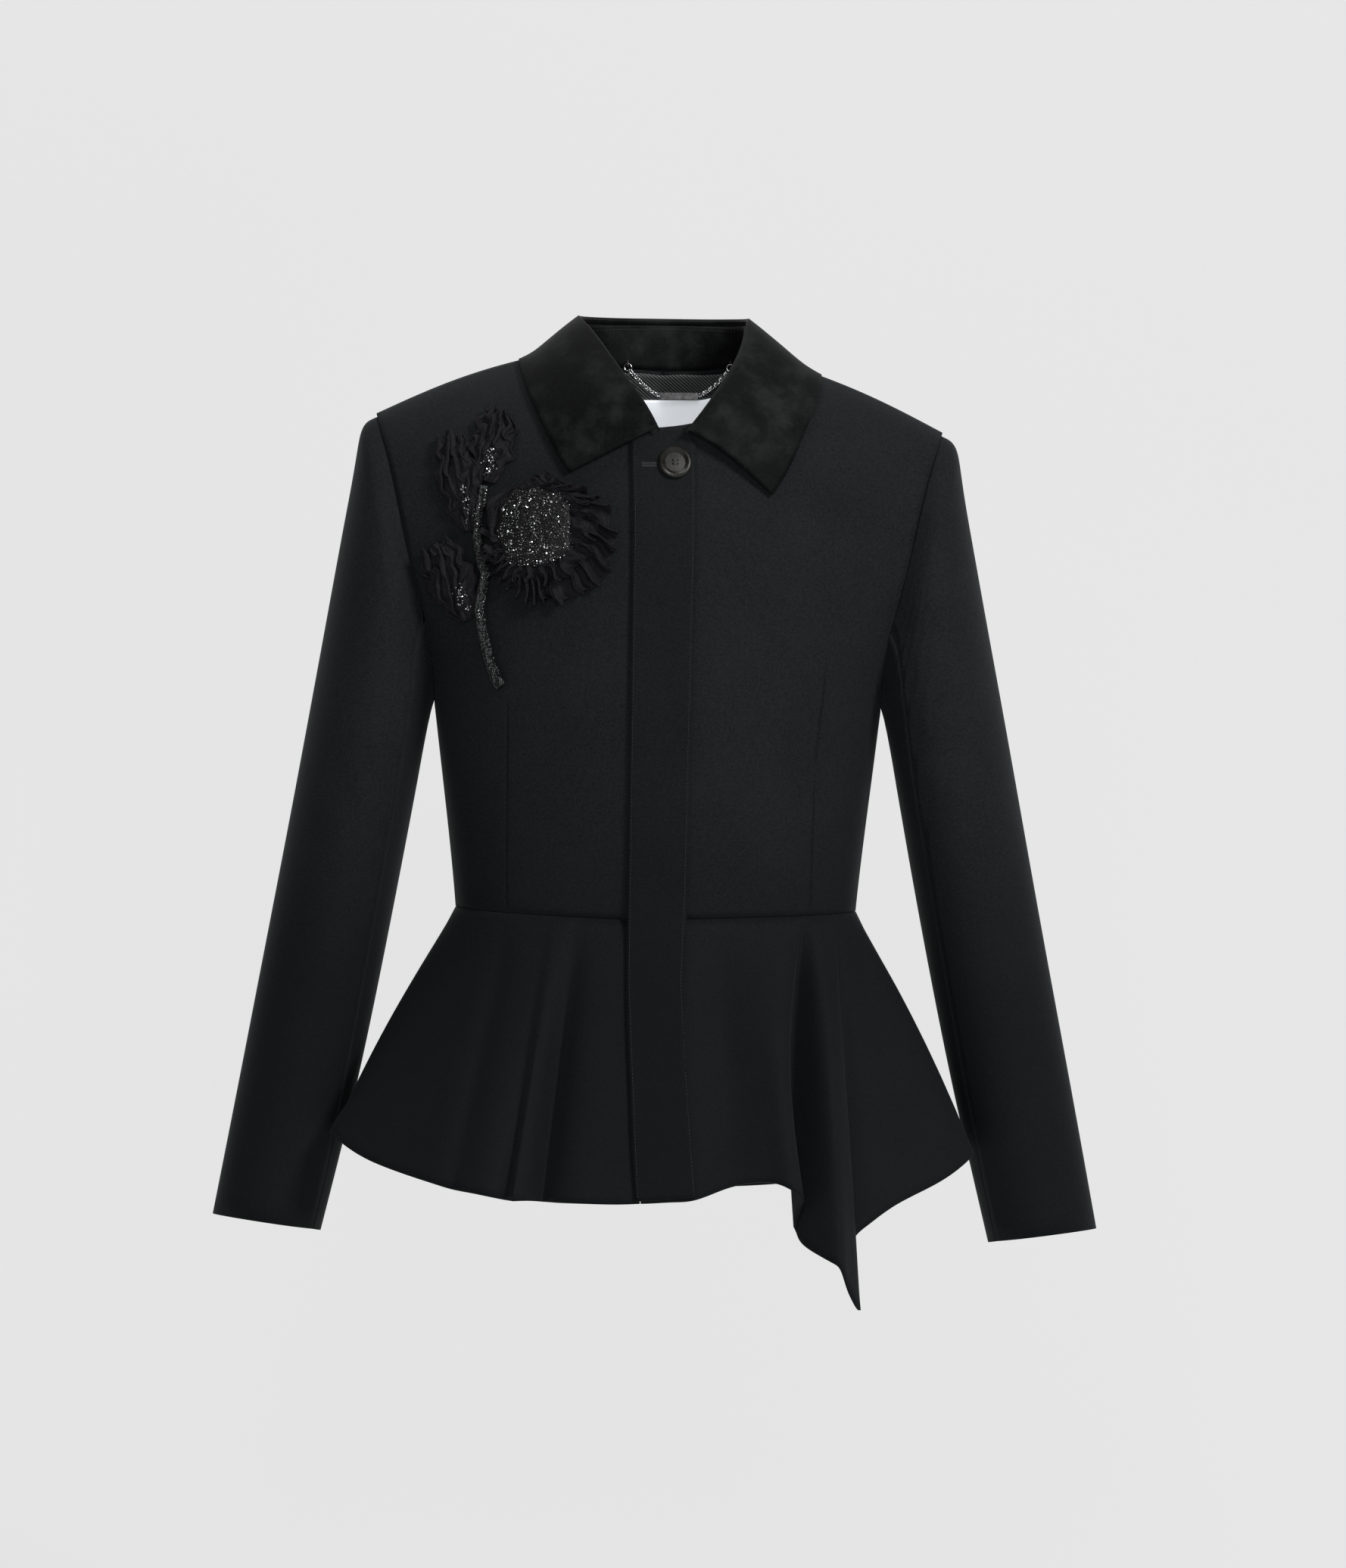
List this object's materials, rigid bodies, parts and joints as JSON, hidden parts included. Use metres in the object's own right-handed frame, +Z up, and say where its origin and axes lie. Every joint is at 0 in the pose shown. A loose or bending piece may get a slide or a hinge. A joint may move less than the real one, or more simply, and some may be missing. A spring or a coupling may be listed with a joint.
{
  "type": "peplum jacket",
  "caption": "Fitted jacket with velvet collar, fly front, long sleeves, flared peplum with a draped point, and a cloth flower on the chest.",
  "frame": {"origin": "middle of the neck opening, level with the side neck points", "axes": "+Z up, -Y out of the wearer's chest, +X to the wearer's left"},
  "size_m": [0.652, 0.3229, 0.7244],
  "materials": {
    "wool": "matt black wool crepe",
    "velvet": "black velvet pile",
    "lining": "satin twill lining",
    "label": "plain white woven satin",
    "silver": "polished",
    "thread": "sewing thread",
    "horn": "dark mottled horn",
    "ruched_cloth": "gathered black cloth",
    "beading": "black thread ground for beads"
  },
  "bodies": {
    "jacket": {"back_left": "wool", "back_right": "wool", "bloom_inner": "ruched_cloth", "bloom_outer": "ruched_cloth", "bloom_pad": "beading", "bud_low": "ruched_cloth", "bud_side": "ruched_cloth", "bud_top": "ruched_cloth", "button": "horn", "collar_fall": "velvet", "collar_stand": "velvet", "front_band": "wool", "front_left": "wool", "front_right": "wool", "label": "label", "neck_lining": "lining", "peplum_back": "wool", "peplum_left": "wool", "peplum_right": "wool", "ring_loop_left": "thread", "ring_loop_right": "thread", "sleeve_top_left": "wool", "sleeve_top_right": "wool", "sleeve_under_left": "wool", "sleeve_under_right": "wool", "stem": "beading"},
    "hanger": {"hanger_chain_left": "silver", "hanger_chain_right": "silver", "hanger_plate": "silver", "hanger_ring_left": "silver", "hanger_ring_right": "silver"}
  },
  "joints": [
    {"name": "hanger_swing", "type": "hinge", "parent": "jacket", "child": "hanger", "pos_m": [-0.02521, 0.04583, -0.0025], "axis": [-0.9889, 0.1486, 0], "range_deg": [-6, 120]}
  ]
}
